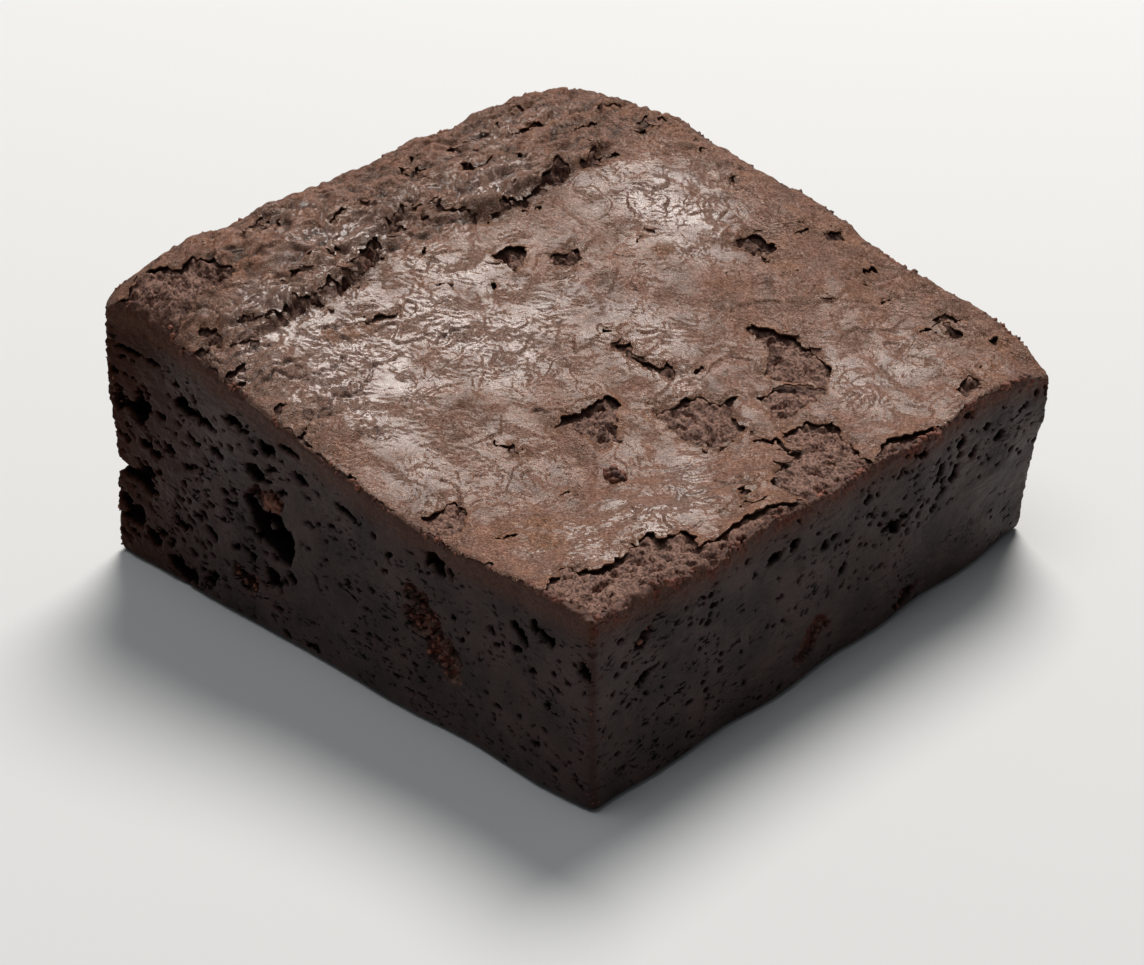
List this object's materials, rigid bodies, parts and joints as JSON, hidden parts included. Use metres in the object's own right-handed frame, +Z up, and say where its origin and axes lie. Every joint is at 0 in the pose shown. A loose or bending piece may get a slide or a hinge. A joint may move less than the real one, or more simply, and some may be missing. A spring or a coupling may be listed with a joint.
{
  "type": "chocolate brownie",
  "caption": "Square of dense chocolate brownie, cut from a tray: papery crackled top, thick on one side and sunken on the other, with blown pores in its cut faces.",
  "frame": {"origin": "middle of the flat base the brownie rests on", "axes": "+Z up; -X is the thick side from the rim of the tray, +X the thin sunken side; -Y and +Y are the sloping cut sides"},
  "size_m": [0.076, 0.076, 0.0369],
  "materials": {
    "brownie_crumb": "baked chocolate: dark, dense, knife-cut crumb with a faint sheen, under a thin papery red-brown crust with a silky gloss"
  },
  "bodies": {
    "root": {"brownie": "brownie_crumb"}
  },
  "joints": []
}
